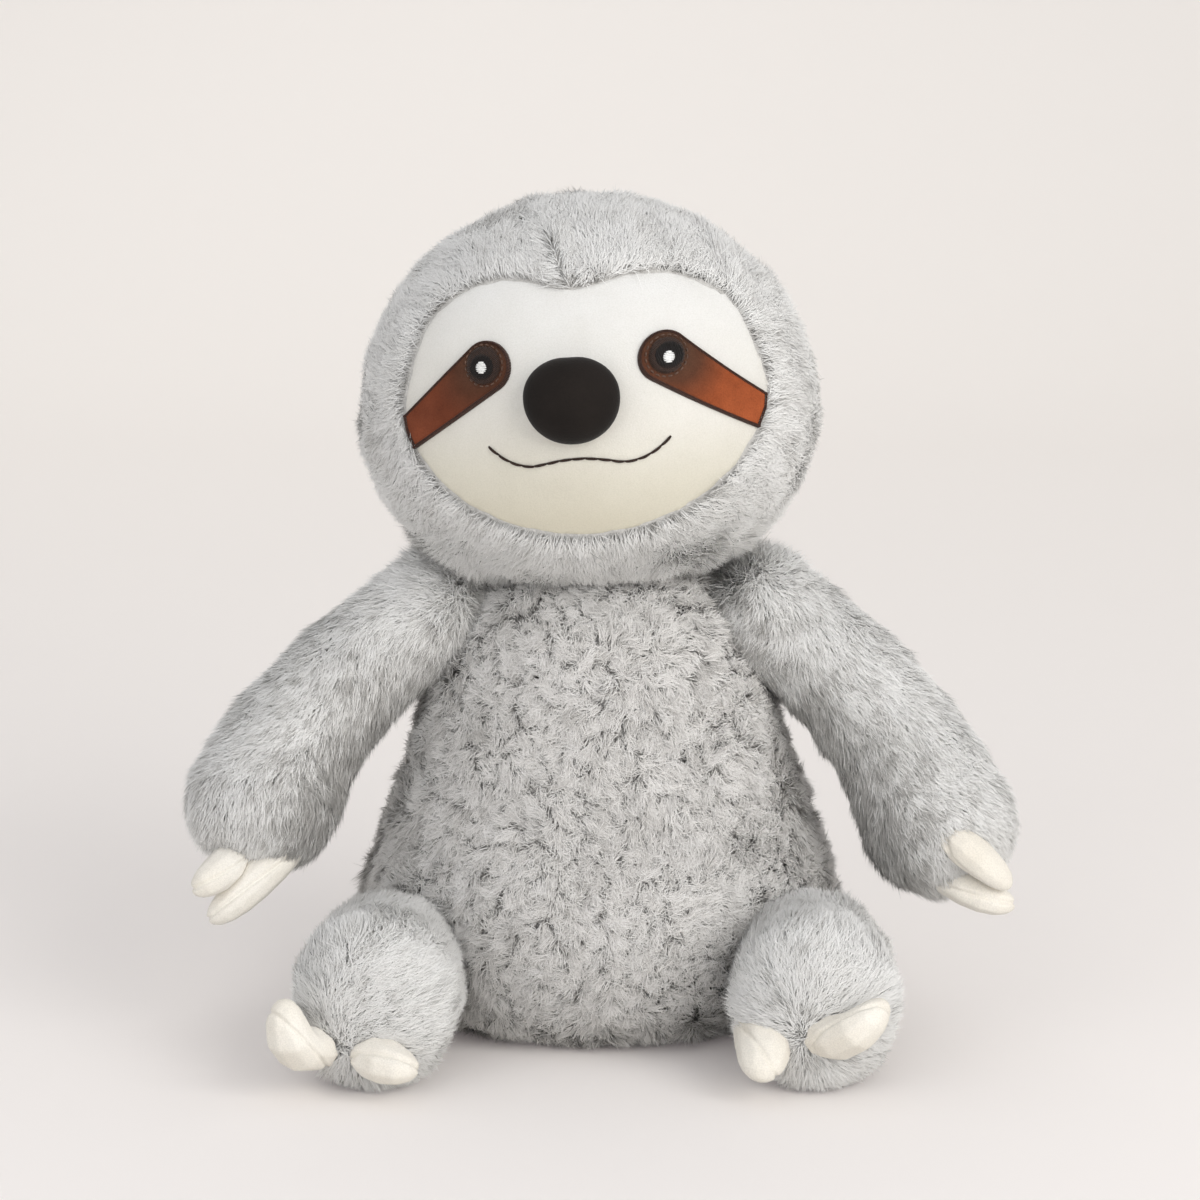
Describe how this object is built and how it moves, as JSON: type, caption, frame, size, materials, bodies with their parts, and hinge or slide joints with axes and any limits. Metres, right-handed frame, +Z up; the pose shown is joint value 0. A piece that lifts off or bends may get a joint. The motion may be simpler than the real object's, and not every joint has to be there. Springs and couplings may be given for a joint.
{
  "type": "plush sloth",
  "caption": "Seated plush sloth with a smooth masked face, long arms and short legs with velour claws, stuffed and sewn so that its head turns, its arms lift and its legs swing.",
  "frame": {"origin": "middle of the flat seat, on the surface that the toy sits on", "axes": "+Z up; the toy faces -Y; its own left is on +X"},
  "size_m": [0.2285, 0.1378, 0.2327],
  "materials": {
    "grey_plush": "matte",
    "cream_velour": "matte",
    "brown_velour": "matte",
    "black_velour": "matte",
    "dark_thread": "matte",
    "white_thread": "matte",
    "white_fibre": "matte",
    "pellet_cloth": "matte"
  },
  "bodies": {
    "torso": {"torso_skin": "grey_plush", "torso_stuffing": "white_fibre", "seat_pouch": "pellet_cloth"},
    "head": {"head_skin": "grey_plush", "head_stuffing": "white_fibre", "face_panel": "cream_velour", "nose": "black_velour", "mouth_stitch": "dark_thread", "eye_patch_left": "brown_velour", "eye_iris_left": "dark_thread", "eye_pupil_left": "black_velour", "eye_highlight_left": "white_thread", "eye_patch_right": "brown_velour", "eye_iris_right": "dark_thread", "eye_pupil_right": "black_velour", "eye_highlight_right": "white_thread"},
    "arm_left": {"arm_left_skin": "grey_plush", "arm_left_stuffing": "white_fibre", "arm_left_claw_1": "cream_velour", "arm_left_claw_2": "cream_velour"},
    "arm_right": {"arm_right_skin": "grey_plush", "arm_right_stuffing": "white_fibre", "arm_right_claw_1": "cream_velour", "arm_right_claw_2": "cream_velour"},
    "leg_left": {"leg_left_skin": "grey_plush", "leg_left_stuffing": "white_fibre", "leg_left_claw_1": "cream_velour", "leg_left_claw_2": "cream_velour"},
    "leg_right": {"leg_right_skin": "grey_plush", "leg_right_stuffing": "white_fibre", "leg_right_claw_1": "cream_velour", "leg_right_claw_2": "cream_velour"}
  },
  "joints": [
    {"name": "neck_turn", "type": "hinge", "parent": "torso", "child": "head", "pos_m": [0.0005, 0, 0.1295], "axis": [-0.0698, 0, 0.9976], "range_deg": [-28, 42], "stiffness_Nm_per_rad": 0.15},
    {"name": "shoulder_left_lift", "type": "hinge", "parent": "torso", "child": "arm_left", "pos_m": [0.045, -0.002, 0.117], "axis": [0, -1, 0], "range_deg": [0, 60], "stiffness_Nm_per_rad": 0.05},
    {"name": "shoulder_right_lift", "type": "hinge", "parent": "torso", "child": "arm_right", "pos_m": [-0.045, -0.002, 0.117], "axis": [0, 1, 0], "range_deg": [0, 60], "stiffness_Nm_per_rad": 0.05},
    {"name": "hip_left_swing", "type": "hinge", "parent": "torso", "child": "leg_left", "pos_m": [0.058, -0.0385, 0.023], "axis": [-0.9999, 0.0121, 0], "range_deg": [-30, 30], "stiffness_Nm_per_rad": 0.12},
    {"name": "hip_right_swing", "type": "hinge", "parent": "torso", "child": "leg_right", "pos_m": [-0.058, -0.0385, 0.023], "axis": [-0.9964, 0.0847, 0], "range_deg": [-30, 30], "stiffness_Nm_per_rad": 0.12}
  ]
}
